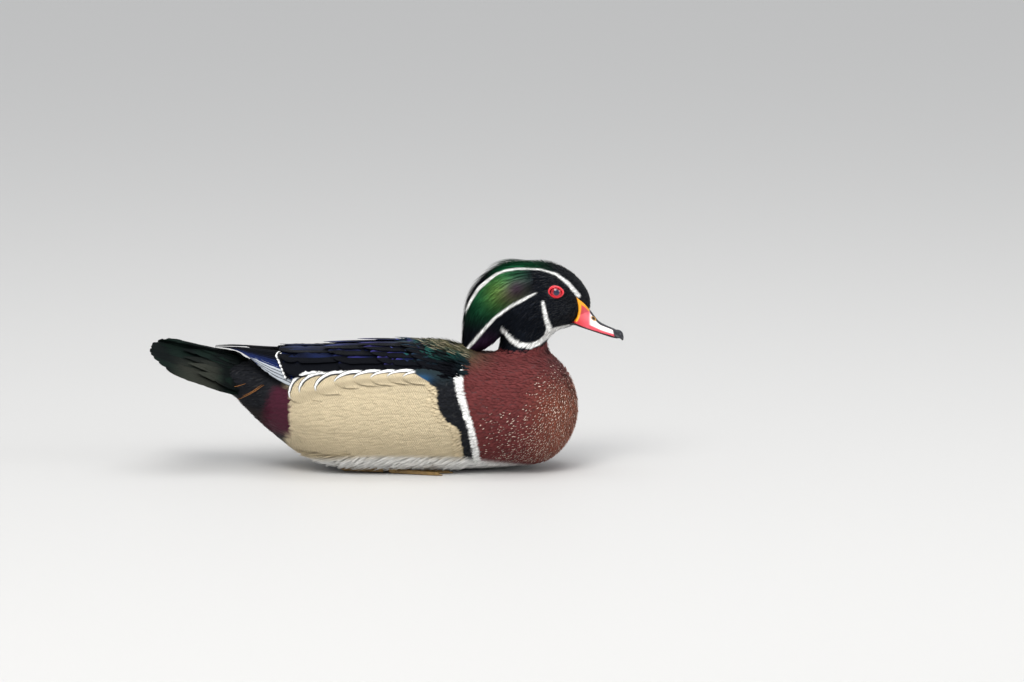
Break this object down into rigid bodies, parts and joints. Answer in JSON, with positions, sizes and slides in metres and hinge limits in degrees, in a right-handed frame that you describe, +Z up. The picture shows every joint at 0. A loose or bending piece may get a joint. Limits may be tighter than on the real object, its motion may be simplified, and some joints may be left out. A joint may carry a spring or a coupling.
{
  "type": "wood duck",
  "caption": "Life-size drake duck at rest on its belly: swept-back crest, short hooked bill, folded wings, fanned tail and webbed feet tucked under.",
  "frame": {"origin": "on the ground under the middle of the bird's length and width", "axes": "+X towards the bill, +Y towards the bird's left, +Z up"},
  "size_m": [0.377, 0.1318, 0.1664],
  "materials": {
    "head_plumage": "silky black feathers with a blue-green gloss",
    "crest_plumage": "silky iridescent green and purple feathers with white lines",
    "breast_plumage": "soft chestnut feathers with small white spots",
    "flank_plumage": "soft tan feathers with very fine dark barring",
    "wing_plumage": "glossy blue-black feathers",
    "back_plumage": "dark feathers with a bronze-green gloss",
    "bill_horn": "smooth red, white and yellow horn",
    "dark_horn": "smooth black horn",
    "eye": "wet, clear and glossy, dark red iris",
    "eye_skin": "bare red skin",
    "foot_skin": "scaly dull yellow skin with darker webs"
  },
  "bodies": {
    "root": {"torso": "back_plumage", "breast": "breast_plumage", "rump": "back_plumage", "tail": "back_plumage", "neck": "head_plumage", "head": "head_plumage", "crest": "crest_plumage", "upper_bill": "bill_horn", "lower_bill": "dark_horn", "eye_left": "eye", "eye_right": "eye", "eye_ring_left": "eye_skin", "eye_ring_right": "eye_skin", "flank_left": "flank_plumage", "flank_right": "flank_plumage", "wing_left": "wing_plumage", "wing_right": "wing_plumage", "leg_left": "foot_skin", "leg_right": "foot_skin", "foot_left": "foot_skin", "foot_right": "foot_skin"}
  },
  "joints": []
}
